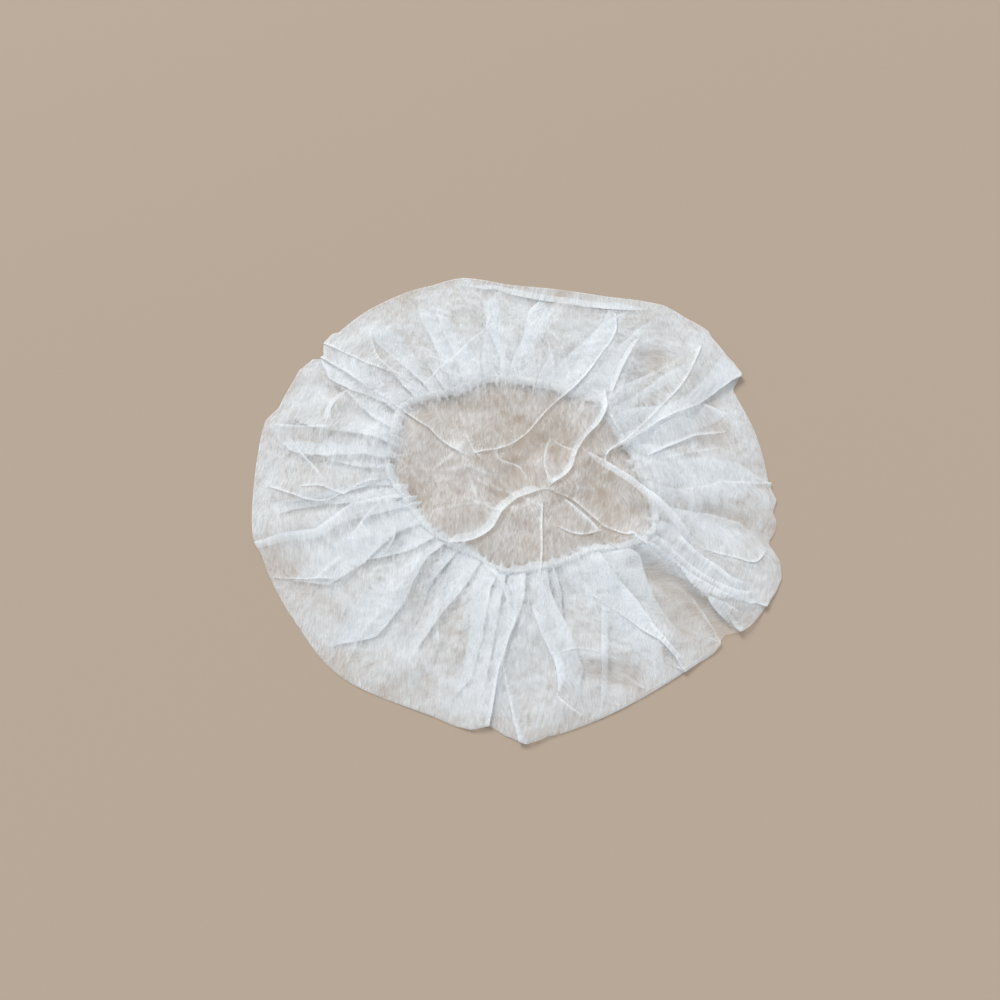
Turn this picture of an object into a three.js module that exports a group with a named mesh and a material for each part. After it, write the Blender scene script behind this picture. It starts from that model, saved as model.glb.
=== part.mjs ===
import * as THREE from "three";

// A disposable bouffant hair cover: a disc of thin non-woven cloth gathered on an elastic at its edge.
// It lies with its opening down, the crown on top and the skirt turned under the rolled rim.
// Lengths are in millimetres, clocks are degrees anticlockwise from +X, and +Z is up.

// Driving sizes
const WALL = 1.3;
const CLEARANCE = 0.3;
const PLEATS = 38;

const CROWN_RINGS = 12;
const MIDDLE_HEIGHT = 10;
const OVER_HEM_HEIGHT = 13.5;
const RIM_ROLL = 3;
const RIM_TUCK = 2.5;
const OVERLAP_HEIGHT = 3;

const ELASTIC_WIDTH = 4;
const ELASTIC_THICKNESS = 1;
const HEM_RUFFLE = 1.2;

// The rim seen from above: how far the rolled edge reaches from the middle at each clock.
const rimOutline = [
  { clock: 0, reach: 167 },
  { clock: 20, reach: 168 },
  { clock: 26, reach: 179 },
  { clock: 38, reach: 186.5 },
  { clock: 52, reach: 183.5 },
  { clock: 64, reach: 169 },
  { clock: 77, reach: 163.5 },
  { clock: 90, reach: 164 },
  { clock: 103, reach: 175.5 },
  { clock: 120, reach: 175 },
  { clock: 138, reach: 173 },
  { clock: 152, reach: 169.5 },
  { clock: 168, reach: 170.5 },
  { clock: 184, reach: 167.5 },
  { clock: 200, reach: 168 },
  { clock: 218, reach: 164.3 },
  { clock: 233, reach: 166.4 },
  { clock: 249, reach: 163.2 },
  { clock: 262, reach: 165.6 },
  { clock: 273, reach: 170.5 },
  { clock: 287, reach: 165 },
  { clock: 300, reach: 162.8 },
  { clock: 314, reach: 166 },
  { clock: 332, reach: 178 },
  { clock: 348, reach: 170 },
];

// The nicks in the rim where a pleat turns under.
const rimNicks = [
  { name: "overlap_step", clock: 23, depth: 3, width: 4 },
  { name: "shoulder_nick", clock: 146, depth: 8, width: 5 },
  { name: "front_nick", clock: 265, depth: 4.5, width: 4 },
  { name: "lower_right_nick", clock: 317, depth: 3.5, width: 4 },
  { name: "right_nick", clock: 341, depth: 6.5, width: 5 },
];

// The opening seen from above: how far the middle of the elastic hem lies from the middle.
const hemOutline = [
  { clock: 0, reach: 82.5 },
  { clock: 19, reach: 76 },
  { clock: 40, reach: 81.5 },
  { clock: 56, reach: 72 },
  { clock: 85, reach: 72 },
  { clock: 107, reach: 74 },
  { clock: 128, reach: 76 },
  { clock: 148, reach: 89.5 },
  { clock: 165, reach: 83 },
  { clock: 184, reach: 81 },
  { clock: 199, reach: 72 },
  { clock: 222, reach: 69 },
  { clock: 247, reach: 66 },
  { clock: 265, reach: 72.5 },
  { clock: 290, reach: 72 },
  { clock: 308, reach: 75 },
  { clock: 328, reach: 96 },
  { clock: 345, reach: 92 },
];

// The crown's main folds. Each ridge or valley runs from its start over its bend to its end.
const crownFolds = [
  { name: "left_ridge", start: [-133, 89], bend: [-70, 38], end: [-27, 6], rise: 3, spread: 9 },
  { name: "left_streak", start: [-126, 104], bend: [-99, 82], end: [-60, 60], rise: 1.5, spread: 8 },
  { name: "left_wide_band", start: [-156, -54], bend: [-110, -42], end: [-72, -30], rise: 3, spread: 13 },
  { name: "left_edge_valley", start: [-158, -15], bend: [-117, -26], end: [-83, -13], rise: -1.2, spread: 8 },
  { name: "top_panel_ridge", start: [-27, 6], bend: [10, 22], end: [42, 58], rise: 3, spread: 8 },
  { name: "top_fan_ridge", start: [42, 58], bend: [66, 92], end: [79, 135], rise: 2.2, spread: 9 },
  { name: "right_fan_ridge", start: [65, 45], bend: [76, 70], end: [94, 100], rise: 1.8, spread: 9 },
  { name: "middle_hook", start: [64, 63], bend: [46, 12], end: [22, -19], rise: 4, spread: 8 },
  { name: "middle_short", start: [26, 26], bend: [21, 4], end: [22, -16], rise: 2.5, spread: 6 },
  { name: "right_band", start: [44, 4], bend: [80, -22], end: [132, -79], rise: 3, spread: 10 },
  { name: "overlap_valley", start: [60, -2], bend: [99, 41], end: [142, 106], rise: -1.2, spread: 9 },
  { name: "front_s_start", start: [-36, -60], bend: [-14, -51], end: [-3, -36], rise: 3, spread: 8 },
  { name: "front_s_end", start: [-3, -36], bend: [5, -26], end: [22, -20], rise: 3, spread: 8 },
  { name: "long_ridge", start: [22, -20], bend: [76, -61], end: [127, -113], rise: 4.5, spread: 9 },
  { name: "middle_crease", start: [26, -47], bend: [40, -52], end: [57, -51], rise: 1.8, spread: 7 },
  { name: "front_crease", start: [19, -26], bend: [14, -80], end: [-14, -162], rise: 2.2, spread: 8 },
  { name: "front_notch", start: [-8, -132], bend: [-5, -150], end: [-2, -168], rise: -1.5, spread: 9 },
  { name: "front_band", start: [12, -101], bend: [24, -140], end: [34, -160], rise: 2.4, spread: 9 },
  { name: "lower_crease", start: [36, -85], bend: [70, -110], end: [98, -134], rise: -1.2, spread: 8 },
  { name: "lower_ridge", start: [52, -64], bend: [101, -100], end: [116, -122], rise: 2, spread: 8 },
  { name: "right_fan_low", start: [87, -40], bend: [120, -72], end: [147, -94], rise: 2.4, spread: 9 },
  { name: "right_fan_high", start: [111, -18], bend: [136, -12], end: [161, -10], rise: 1.6, spread: 9 },
  { name: "top_turned_strip", start: [-36, 165], bend: [34, 156], end: [104, 146], rise: 1.6, spread: 7 },
];

// The pleat that laps over its neighbour on the right: its free edge runs from the opening to the rim.
const overlapEdge = { start: [62, 7], bend: [104, 33], end: [160, 66], spread: 26 };

// The skirt from rim to hem: share of the way, and how high its pleats stand off the surface.
const skirtSections = [
  { share: 0, pleat: 0 },
  { share: 0.12, pleat: 0 },
  { share: 0.36, pleat: 2.2 },
  { share: 0.62, pleat: 5 },
  { share: 0.86, pleat: 6.8 },
  { share: 1, pleat: 4 },
];

// One gather of the skirt, station by station: flat on the surface, at the crest, and leaning back.
const PLEAT_WAVE = [0, 1, 0.45];
const STATIONS = PLEATS * PLEAT_WAVE.length;

// One gather of the hem: the casing stands out from its elastic, then lies close to it.
const HEM_WAVE = [1, 0];
const HEM_STATIONS = PLEATS * HEM_WAVE.length;

const clockOf = (station, stations) => (360 * station) / stations;

// The reach at a clock, on a smooth closed curve through the rows of a table.
function reachAt(table, clock) {
  const count = table.length;
  const after = table.findIndex((row) => row.clock > clock);
  const next = after < 0 ? count : after;
  const row = (index) => table[(index + count) % count];
  const turn = (index) => row(index).clock + 360 * Math.floor(index / count);
  const share = (clock - turn(next - 1)) / (turn(next) - turn(next - 1));
  const [before, from, to, beyond] = [-2, -1, 0, 1].map((step) => row(next + step).reach);
  const slopeFrom = (to - before) / 2;
  const slopeTo = (beyond - from) / 2;
  const bend = 2 * (from - to) + slopeFrom + slopeTo;
  const lift = 3 * (to - from) - 2 * slopeFrom - slopeTo;
  return ((bend * share + lift) * share + slopeFrom) * share + from;
}

function rimReach(clock) {
  const nick = rimNicks.reduce((total, { clock: middle, depth, width }) => {
    const away = Math.abs(((clock - middle + 540) % 360) - 180);
    return total + depth * Math.max(0, 1 - away / width);
  }, 0);
  return reachAt(rimOutline, clock) - nick;
}

const hemReach = (clock) => reachAt(hemOutline, clock);

// How far a point lies from a fold's two straight legs, and on which side of them.
function besideFold({ start, bend, end }, x, y) {
  const legs = [[start, bend], [bend, end]];
  return legs.reduce((nearest, [from, to]) => {
    const along = [to[0] - from[0], to[1] - from[1]];
    const away = [x - from[0], y - from[1]];
    const span = along[0] ** 2 + along[1] ** 2;
    const share = THREE.MathUtils.clamp((away[0] * along[0] + away[1] * along[1]) / span, 0, 1);
    const distance = Math.hypot(away[0] - share * along[0], away[1] - share * along[1]);
    const left = along[0] * away[1] - along[1] * away[0] > 0;
    return distance < nearest.distance ? { distance, left } : nearest;
  }, { distance: Infinity, left: false });
}

// The height that the folds add to the crown at a point. Where folds meet, the strongest one counts.
function foldHeight(x, y) {
  const heights = crownFolds.map((fold) => {
    const away = besideFold(fold, x, y).distance / fold.spread;
    return fold.rise * Math.exp(-away * away);
  });
  const edge = besideFold(overlapEdge, x, y);
  const lap = edge.left ? OVERLAP_HEIGHT * Math.max(0, 1 - edge.distance / overlapEdge.spread) : 0;
  return Math.max(0, lap, ...heights) + Math.min(0, ...heights);
}

// The crown sags over the opening, is carried by the gathers round the hem and falls to the rim.
function crownHeight(clock, radius) {
  const rim = rimReach(clock) - RIM_ROLL;
  const hem = hemReach(clock);
  if (radius < hem) {
    return THREE.MathUtils.lerp(MIDDLE_HEIGHT, OVER_HEM_HEIGHT, (radius / hem) ** 2);
  }
  return THREE.MathUtils.lerp(OVER_HEM_HEIGHT, 2 * RIM_ROLL, (radius - hem) / (rim - hem));
}

function pointAt(clock, radius, height) {
  const angle = THREE.MathUtils.degToRad(clock);
  return new THREE.Vector3(radius * Math.cos(angle), radius * Math.sin(angle), height);
}

const ringOf = (stations, place) =>
  Array.from({ length: stations }, (_, station) => place(clockOf(station, stations), station));

// A closed skin from rings of points. The rings follow the section clockwise, rim to the right.
// Where the section starts and ends on the axis, one pole point closes it at each end.
function ringSkin(rings, poles) {
  const stations = rings[0].length;
  const points = rings.flat();
  const faces = [];
  const at = (ring, station) => ring * stations + (station % stations);
  const strips = poles ? rings.length - 1 : rings.length;
  for (let ring = 0; ring < strips; ring += 1) {
    const next = (ring + 1) % rings.length;
    for (let station = 0; station < stations; station += 1) {
      faces.push(at(ring, station), at(next, station), at(next, station + 1));
      faces.push(at(ring, station), at(next, station + 1), at(ring, station + 1));
    }
  }
  if (poles) {
    const first = points.push(poles[0]) - 1;
    const last = points.push(poles[1]) - 1;
    for (let station = 0; station < stations; station += 1) {
      faces.push(first, at(0, station), at(0, station + 1));
      faces.push(at(rings.length - 1, station), last, at(rings.length - 1, station + 1));
    }
  }
  const geometry = new THREE.BufferGeometry().setFromPoints(points);
  geometry.setIndex(faces);
  geometry.computeVertexNormals();
  return geometry;
}

// The same rings, moved into the cloth by the wall's thickness along each point's normal.
function innerRings(rings) {
  const stations = rings[0].length;
  const side = new THREE.Vector3();
  return rings.map((ring, index) => ring.map((point, station) => {
    const before = rings[Math.max(index - 1, 0)][station];
    const after = rings[Math.min(index + 1, rings.length - 1)][station];
    const back = ring[(station + stations - 1) % stations];
    const ahead = ring[(station + 1) % stations];
    const corners = [[before, ahead], [after, ahead], [after, back], [before, back]];
    const normal = new THREE.Vector3();
    corners.forEach(([across, round], corner) => {
      const outward = (corner === 1 || corner === 3 ? 1 : -1);
      side.crossVectors(across.clone().sub(point), round.clone().sub(point));
      if (side.lengthSq() > 0) {
        normal.addScaledVector(side.normalize(), outward);
      }
    });
    return point.clone().addScaledVector(normal.normalize(), -WALL);
  }));
}

function crownShape() {
  const rings = [];
  for (let ring = 1; ring <= CROWN_RINGS; ring += 1) {
    rings.push(ringOf(STATIONS, (clock) => {
      const radius = (ring / CROWN_RINGS) * (rimReach(clock) - RIM_ROLL);
      const flat = pointAt(clock, radius, crownHeight(clock, radius));
      const fade = ring === CROWN_RINGS ? 0.3 : 1;
      return flat.setZ(flat.z + fade * foldHeight(flat.x, flat.y));
    }));
  }
  rings.push(ringOf(STATIONS, (clock) => pointAt(clock, rimReach(clock), RIM_ROLL)));
  rings.push(ringOf(STATIONS, (clock) => pointAt(clock, rimReach(clock) - RIM_ROLL, 0)));
  rings.push(ringOf(STATIONS, (clock) => pointAt(clock, rimReach(clock) - RIM_ROLL - RIM_TUCK, 0)));
  const top = pointAt(0, 0, MIDDLE_HEIGHT + foldHeight(0, 0));
  const under = top.clone().setZ(top.z - WALL);
  return ringSkin([...rings, ...innerRings(rings).reverse()], [top, under]);
}

// Half the width of the hem casing: the elastic, its clearance, the cloth and the ruffle.
const HEM_CHANNEL = ELASTIC_THICKNESS / 2 + CLEARANCE;
const HEM_HALF = HEM_CHANNEL + WALL;
const HEM_HEIGHT = ELASTIC_WIDTH + 2 * CLEARANCE + WALL;

function skirtShape() {
  const rings = skirtSections.map(({ share, pleat }) => ringOf(STATIONS, (clock, station) => {
    const rimEnd = rimReach(clock) - RIM_ROLL - RIM_TUCK - CLEARANCE;
    const hemEnd = hemReach(clock) + HEM_HALF + HEM_RUFFLE + CLEARANCE;
    const wave = PLEAT_WAVE[station % PLEAT_WAVE.length];
    return pointAt(clock, THREE.MathUtils.lerp(rimEnd, hemEnd, share), wave * pleat);
  }));
  return ringSkin([...rings, ...innerRings(rings).reverse()]);
}

// A ring that follows the hem, from the corners of its section: how far out from the hem's middle,
// how far the ruffle pushes the corner out, and how high.
function hemRing(section) {
  return ringSkin(section.map(([out, ruffle, up]) => ringOf(HEM_STATIONS, (clock, station) => {
    const gather = ruffle * HEM_WAVE[station % HEM_WAVE.length];
    return pointAt(clock, hemReach(clock) + out + gather, up);
  })));
}

// The cloth's edge folded over the elastic, open below.
function hemCasingShape() {
  const roof = HEM_HEIGHT - WALL;
  return hemRing([
    [-HEM_HALF, -HEM_RUFFLE, 0],
    [-HEM_HALF, 0, HEM_HEIGHT],
    [HEM_HALF, 0, HEM_HEIGHT],
    [HEM_HALF, HEM_RUFFLE, 0],
    [HEM_CHANNEL, 0, 0],
    [HEM_CHANNEL, 0, roof],
    [-HEM_CHANNEL, 0, roof],
    [-HEM_CHANNEL, 0, 0],
  ]);
}

function elasticShape() {
  const half = ELASTIC_THICKNESS / 2;
  const top = CLEARANCE + ELASTIC_WIDTH;
  return hemRing([[-half, 0, CLEARANCE], [-half, 0, top], [half, 0, top], [half, 0, CLEARANCE]]);
}

const whiteCloth = new THREE.MeshStandardMaterial({ color: 0xe9edef, roughness: 0.85, metalness: 0 });
const gatheredCloth = new THREE.MeshStandardMaterial({ color: 0xf3f6f8, roughness: 0.85, metalness: 0 });
const elastic = new THREE.MeshStandardMaterial({ color: 0xf7f5ee, roughness: 0.7, metalness: 0 });

function piece(name, geometry, material) {
  const mesh = new THREE.Mesh(geometry, material);
  mesh.name = name;
  return mesh;
}

const cap = new THREE.Group();
cap.add(piece("crown", crownShape(), whiteCloth));
cap.add(piece("skirt", skirtShape(), whiteCloth));
cap.add(piece("hem_casing", hemCasingShape(), gatheredCloth));
cap.add(piece("elastic_band", elasticShape(), elastic));

// The origin is on the surface, under the middle of the cap's outline.
const outlineMiddle = new THREE.Box3().setFromObject(cap).getCenter(new THREE.Vector3());
cap.position.set(-outlineMiddle.x, -outlineMiddle.y, 0);
cap.updateMatrixWorld(true);

export default cap;
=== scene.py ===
# %% [markdown]
# A disposable hair cover, lying on a table
#
# The real cap starts as a flat disc of spunbonded non-woven, thinner than paper. Its edge is folded
# over an elastic, which gathers it into a mouth. Here it lies with the mouth down: the crown is on
# top, the cloth turns under at the rim, and the gathered skirt runs back below to the elastic.
# This lesson shapes the whole disc as one sheet, so that every pleat is real cloth lying over cloth.

# %% The frame
import math

import bmesh
import bpy
import numpy as np
from mathutils import Matrix, Vector


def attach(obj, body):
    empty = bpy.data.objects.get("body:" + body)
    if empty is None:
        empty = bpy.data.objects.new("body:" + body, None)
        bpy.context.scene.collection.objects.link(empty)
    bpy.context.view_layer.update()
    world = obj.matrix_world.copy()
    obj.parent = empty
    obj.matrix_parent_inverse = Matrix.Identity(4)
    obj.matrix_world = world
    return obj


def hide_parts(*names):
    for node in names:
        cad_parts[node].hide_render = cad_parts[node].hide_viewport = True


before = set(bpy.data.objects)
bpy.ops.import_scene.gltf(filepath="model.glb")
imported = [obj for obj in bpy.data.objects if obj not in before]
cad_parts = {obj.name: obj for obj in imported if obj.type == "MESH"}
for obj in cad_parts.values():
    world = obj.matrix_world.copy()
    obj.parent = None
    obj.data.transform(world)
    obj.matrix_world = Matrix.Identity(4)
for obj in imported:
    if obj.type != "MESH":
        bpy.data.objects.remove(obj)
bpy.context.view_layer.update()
MM = 0.001
print("the frame's nodes:", sorted(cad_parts))

# %% [markdown]
# The camera comes first. The photograph looks down at the cap from its near side, 62 degrees above
# the table, through a short lens held about 42 cm from the cloth.

# %% The camera
VIEW_HEIGHT = math.radians(62)
VIEW_DISTANCE = 0.417
AIM = (-0.0080, -0.0229, 0.0)
SENSOR = 36.0
LENS = 23.4

camera_data = bpy.data.cameras.new("camera")
camera_data.sensor_width = SENSOR
camera_data.lens = LENS
camera = bpy.data.objects.new("camera", camera_data)
camera.location = (
    AIM[0],
    AIM[1] - VIEW_DISTANCE * math.cos(VIEW_HEIGHT),
    AIM[2] + VIEW_DISTANCE * math.sin(VIEW_HEIGHT),
)
camera.rotation_euler = (math.pi / 2 - VIEW_HEIGHT, 0, 0)
scene = bpy.context.scene
scene.collection.objects.link(camera)
scene.camera = camera
print("camera at", [round(c, 3) for c in camera.location])

# %% [markdown]
# Two outlines steer everything: the rolled rim and the elastic mouth. Both are read from the
# frame's own pieces, as a reach from the middle at each angle, so the cloth fits them by itself.

# %% Reading the outlines from the frame
def node_points(name):
    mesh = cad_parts[name].data
    points = np.empty(len(mesh.vertices) * 3)
    mesh.vertices.foreach_get("co", points)
    return points.reshape(-1, 3) / MM


def reach_curve(points, steps, pick):
    """A closed curve of reach against angle: pick(reaches) is asked for each of the steps."""
    angle = np.arctan2(points[:, 1], points[:, 0])
    reach = np.hypot(points[:, 0], points[:, 1])
    step = np.round(angle / (2 * math.pi / steps)).astype(int) % steps
    middles = np.arange(steps) * (2 * math.pi / steps)
    reaches = np.array([pick(reach[step == index]) for index in range(steps)])
    turns = np.concatenate([middles - 2 * math.pi, middles, middles + 2 * math.pi])

    def curve(at):
        return np.interp(np.mod(at, 2 * math.pi), turns, np.tile(reaches, 3))

    return curve


RIM_STATIONS = 114
HEM_STATIONS = 76
LEAST_RIM = 140
HEM_TOP_DEPTH = 0.1
crown_points = node_points("crown")
rim_points = crown_points[np.hypot(crown_points[:, 0], crown_points[:, 1]) > LEAST_RIM]
rim_reach = reach_curve(rim_points, RIM_STATIONS, np.max)
hem_points = node_points("hem_casing")
hem_top = hem_points[hem_points[:, 2] > hem_points[:, 2].max() - HEM_TOP_DEPTH]
hem_reach = reach_curve(hem_top, HEM_STATIONS, np.mean)
print("rim to the right", rim_reach(0.0).round(1), "hem to the right", hem_reach(0.0).round(1))

# %% [markdown]
# The disc could be a grid, but a grid frays into steps at a round edge. A hexagon cut into even
# triangles and then eased into a circle gives triangles of nearly one size all over, with no seam.
# The crown is cut once more, because its creases are fine and the light falls on them.

# %% The cut disc
CUT_RADIUS = 265.0
DISC_RINGS = 110
RIM_CUT = 172.0
FINE_CUT = RIM_CUT + 8.0
SIDES = 6
SECTOR = 2 * math.pi / SIDES
HALF_SECTOR = SECTOR / 2
TINY = 1e-9


def cut_disc():
    """A hexagon with a corner on the X axis, in even triangles, cut once more over the crown."""
    disc = bmesh.new()
    bmesh.ops.create_circle(
        disc, cap_ends=True, cap_tris=True, segments=SIDES, radius=1.0,
        matrix=Matrix.Rotation(HALF_SECTOR, 4, "Z"),
    )
    bmesh.ops.subdivide_edges(
        disc, edges=disc.edges[:], cuts=DISC_RINGS - 1, use_grid_fill=True
    )
    fine = FINE_CUT / CUT_RADIUS * math.cos(HALF_SECTOR)
    facings = [HALF_SECTOR + SECTOR * side for side in range(SIDES)]

    def inside(vert):
        return all(
            vert.co.x * math.cos(facing) + vert.co.y * math.sin(facing) < fine for facing in facings
        )

    near = {vert for vert in disc.verts if inside(vert)}
    edges = [edge for edge in disc.edges if edge.verts[0] in near and edge.verts[1] in near]
    bmesh.ops.subdivide_edges(disc, edges=edges, cuts=1, use_grid_fill=True)
    bmesh.ops.triangulate(disc, faces=disc.faces[:])
    mesh = bpy.data.meshes.new("cap_cloth")
    disc.to_mesh(mesh)
    disc.free()
    return mesh


def hexagon_to_circle(flat):
    """Each hexagon ring becomes a circle: returns the cut radius and the angle of every point."""
    angle = np.arctan2(flat[:, 1], flat[:, 0])
    sector = np.floor(np.mod(angle, 2 * math.pi) / SECTOR)
    middle = (sector + 0.5) * SECTOR
    across = flat[:, 0] * np.cos(middle) + flat[:, 1] * np.sin(middle)
    along = -flat[:, 0] * np.sin(middle) + flat[:, 1] * np.cos(middle)
    half_side = np.maximum(across * math.tan(HALF_SECTOR), TINY)
    turn = middle + along / half_side * HALF_SECTOR
    return across / math.cos(HALF_SECTOR) * CUT_RADIUS, turn


cloth_mesh = cut_disc()
flat = np.empty(len(cloth_mesh.vertices) * 3)
cloth_mesh.vertices.foreach_get("co", flat)
cut, turn = hexagon_to_circle(flat.reshape(-1, 3))
edges = np.empty(len(cloth_mesh.edges) * 2, int)
cloth_mesh.edges.foreach_get("vertices", edges)
edges = edges.reshape(-1, 2)
print("the disc has", len(cut), "points and", len(cloth_mesh.polygons), "triangles")

# %% [markdown]
# The sheet is laid out first without any fold: the crown from the middle to the rim, half a turn
# round the rim, and the skirt back to the hem. Heights follow what carries the cloth: it sags over
# the open mouth, stands highest over the bunched hem and lies almost flat at the rim. The rim is a
# pressed fold with small corners in it: the rows give their clock in degrees and their push in mm.

# %% Laying out the sheet
ROLL = 0.5
ROLL_CUT = math.pi * ROLL / 2
LIFT = 0.25
MIDDLE_HEIGHT = 8.0
OVER_HEM_HEIGHT = 10.6
SAG_SPAN = (0.2, 1.25)
SLOPE_EASE = 0.12
HEM_HALF_WIDTH = 2.6
HEM_CUT = 9.0
RIM_CORNERS = [
    (11, 0.4), (23, -1.0), (25, 3.4), (27, 1.0), (31, -1.7), (37, -1.2), (39, 1.5), (45, -0.3),
    (51, 1.9), (54, 0.6), (63, 1.8), (86, 2.4), (103, 3.0), (110, 0.6), (116, 2.7), (128, 3.1),
    (137.5, 1.4), (139, 4.0), (143, 4.2), (146, 0.6), (147.5, 6.2), (155, 2.2), (163, -0.8),
    (167, 3.2), (176, 1.3), (197, 1.5), (202, -1.5), (217, 0.3), (235, 0.4), (254, -1.0),
    (262, 0.6), (265, -1.3), (269, -1.8), (272, 0.3), (276, -2.3), (286, -1.2), (306, -0.6),
    (315, 1.0), (317.5, -1.7), (320, 1.1), (329, -1.3), (338, 1.3), (342, -1.8), (346, 0.0),
    (349, -2.1), (352, 1.6), (355, -1.5),
]
SKIRT_CUT = CUT_RADIUS - HEM_CUT - RIM_CUT - ROLL_CUT


def smooth(value, low, high):
    share = np.clip((value - low) / (high - low), 0, 1)
    return share * share * (3 - 2 * share)


def mix(low, high, share):
    return low + (high - low) * share


beyond_crown = cut - (RIM_CUT - ROLL_CUT)
crown_share = np.clip(cut / (RIM_CUT - ROLL_CUT), 0, 1)
roll_turn = np.clip(beyond_crown / (2 * ROLL_CUT), 0, 1) * math.pi
skirt_share = np.clip((beyond_crown - 2 * ROLL_CUT) / SKIRT_CUT, 0, 1)
on_skirt = skirt_share > 0
corner_clock, corner_push = np.array(RIM_CORNERS).T


def lay_out(angle, extra_reach=0.0):
    """Radius and height of every point when it lies at this angle from the middle."""
    corners = np.interp(angle, np.radians(corner_clock), corner_push, period=2 * math.pi)
    edge = rim_reach(angle) - ROLL + extra_reach + corners
    mouth = hem_reach(angle)
    radius = edge * crown_share + ROLL * np.sin(roll_turn)
    radius = mix(radius, mouth + HEM_HALF_WIDTH, skirt_share)
    sag = smooth(radius, SAG_SPAN[0] * mouth, SAG_SPAN[1] * mouth)
    over_mouth = mix(MIDDLE_HEIGHT, OVER_HEM_HEIGHT, sag)
    past_mouth = np.clip((radius - mouth) / (edge - mouth), 0, 1)
    past_mouth = past_mouth**2 / (past_mouth + SLOPE_EASE) * (1 + SLOPE_EASE)
    crown_height = mix(over_mouth, LIFT + 2 * ROLL, past_mouth)
    turned_height = LIFT + ROLL + ROLL * np.cos(roll_turn)
    return radius, np.where(roll_turn > 0, turned_height, crown_height)


laid_radius, _ = lay_out(turn)
print("without its folds the cloth reaches", laid_radius.max().round(1), "mm")

# %% [markdown]
# At the hem the skirt has almost four times the cloth that the elastic has room for, so it falls in
# knife pleats. Each pleat is a sine wave that leans over until it doubles back on itself. Because
# the lean is a plain shear of the wave, the cloth can never pass through itself, however far it goes.
# Towards the rim the pleats merge into fewer, wider ones, which show through the crown as pale rays.

# %% The skirt's gathers
GATHERS = 44
WANDER = [(2, 1.5, 1.0), (5, 1.0, 2.1), (11, 0.6, 0.3), (17, 0.35, 4.0)]
UNEVEN = [(7, 0.3, 1.0), (13, 0.2, 2.0)]
LEAN_LIMITS = (0.6, 1.3)
LEAN_GROWN = 0.3
STACK_LIMITS = (0.6, 1.25)
STACK_AT = ([0, 0.1, 0.35, 0.7, 0.9, 1], [0.1, 0.4, 1.8, 4.4, 6.0, 4.4])
CORNERED = 0.96
CORNERED_CREST = 1.29
MOST_LEAN = 7
LEAN_STEPS = 141
WAVE_STEPS = 721


def ripple(turn, rows):
    """Waves round the disc, added up: a row says how many, how strong and where they start."""
    return sum(size * np.sin(times * turn + start) for times, size, start in rows)


def ripple_slope(turn, rows):
    return sum(size * times * np.cos(times * turn + start) for times, size, start in rows)


phase = GATHERS * turn + ripple(turn, WANDER)
pace = GATHERS + ripple_slope(turn, WANDER)
liveliness = 1 + ripple(turn, UNEVEN)

leans = np.linspace(0, MOST_LEAN, LEAN_STEPS)
samples = np.linspace(0, 2 * math.pi, WAVE_STEPS)
cloth_used = np.array([np.abs(1 - lean * np.cos(samples)).mean() for lean in leans])
gather_ratio = np.maximum(cut / np.maximum(laid_radius, 1), 1)
lean = np.interp(gather_ratio, cloth_used, leans) * smooth(skirt_share, 0.0, LEAN_GROWN)
lean *= np.clip(liveliness, *LEAN_LIMITS)
wave = np.arcsin(CORNERED * np.sin(phase)) / CORNERED_CREST
stack = np.interp(skirt_share, *STACK_AT) * np.clip(liveliness, *STACK_LIMITS)
skirt_swing = -lean / pace * wave
skirt_lift = stack * (0.5 - 0.5 * wave)
print("cloth at the hem is gathered", gather_ratio.max().round(2), "to 1")

# %% [markdown]
# Two more waves ride on the gathers. Next to the elastic each gather breaks up into three fine ones.
# Halfway down the skirt wide folds lie over them, and their doubled cloth makes broad white rays.

# %% Fine gathers and wide folds
FINE_GATHERS = 3
FINE_FROM = 0.72
FINE_WANDER = 1.7
FINE_SWING = 0.9
FINE_RISE = 0.35
WIDE_FOLDS = 19
WIDE_WANDER = [(3, 1.2, 0.5), (7, 0.8, 2.6)]
WIDE_UNEVEN = [(5, 0.5, 1.4)]
WIDE_LIMITS = (0.4, 1.4)
WIDE_AT = ([0, 0.06, 0.3, 0.55, 0.85], [0, 0.15, 1, 0.9, 0])
WIDE_LEAN = 1.7
WIDE_RISE = 1.6

fine = smooth(skirt_share, FINE_FROM, 1.0)
fine_wave = np.sin(FINE_GATHERS * phase + FINE_WANDER * np.sin(phase))
skirt_swing -= fine * FINE_SWING / (FINE_GATHERS * pace) * fine_wave
skirt_lift -= fine * FINE_RISE * fine_wave
wide = np.interp(skirt_share, *WIDE_AT) * np.clip(1 + ripple(turn, WIDE_UNEVEN), *WIDE_LIMITS)
wide_wave = np.sin(WIDE_FOLDS * turn + ripple(turn, WIDE_WANDER))
skirt_swing -= WIDE_LEAN / WIDE_FOLDS * wide * wide_wave
skirt_lift += WIDE_RISE * wide * (0.5 - 0.5 * wide_wave)
print("the gathers stack up to", skirt_lift.max().round(1), "mm")

# %% [markdown]
# The crown carries its own folds. The big ones start at the rim and run in towards the middle: the
# cloth laps over itself there, crown and skirt together, and three thicknesses look whiter than one.
# Each row gives which way a pleat laps (+1 is anticlockwise), how far at both ends, how high it
# stands, how far its tip juts out past the rim and its free edge, from inside to rim.

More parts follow.
